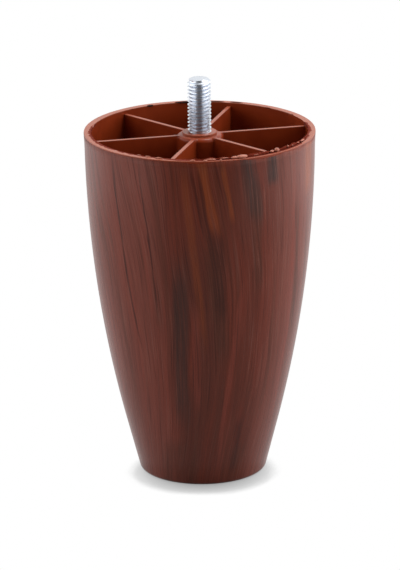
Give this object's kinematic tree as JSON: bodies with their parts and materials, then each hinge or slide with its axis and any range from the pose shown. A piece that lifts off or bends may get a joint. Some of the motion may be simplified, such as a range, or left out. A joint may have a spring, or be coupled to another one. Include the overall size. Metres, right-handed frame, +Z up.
{
  "type": "plastic sofa leg",
  "caption": "Tapered round plastic sofa leg with a wood-grain finish, hollow and ribbed inside, with a moulded-in M8 bolt standing out of its open top to screw into the frame.",
  "frame": {"origin": "middle of the flat foot, on the floor", "axes": "+Z up along the leg's axis towards the bolt's tip, +X along one of the six ribs"},
  "size_m": [0.0784, 0.0784, 0.1385],
  "materials": {
    "wood_grain_plastic": "satin wood-grain film in dark red-brown over the outside; bare red-brown plastic inside, on the rim and under the foot",
    "zinc_plated_steel": "bright bluish zinc plating"
  },
  "bodies": {
    "root": {"leg_body": "wood_grain_plastic", "fixing_bolt": "zinc_plated_steel"}
  },
  "joints": []
}
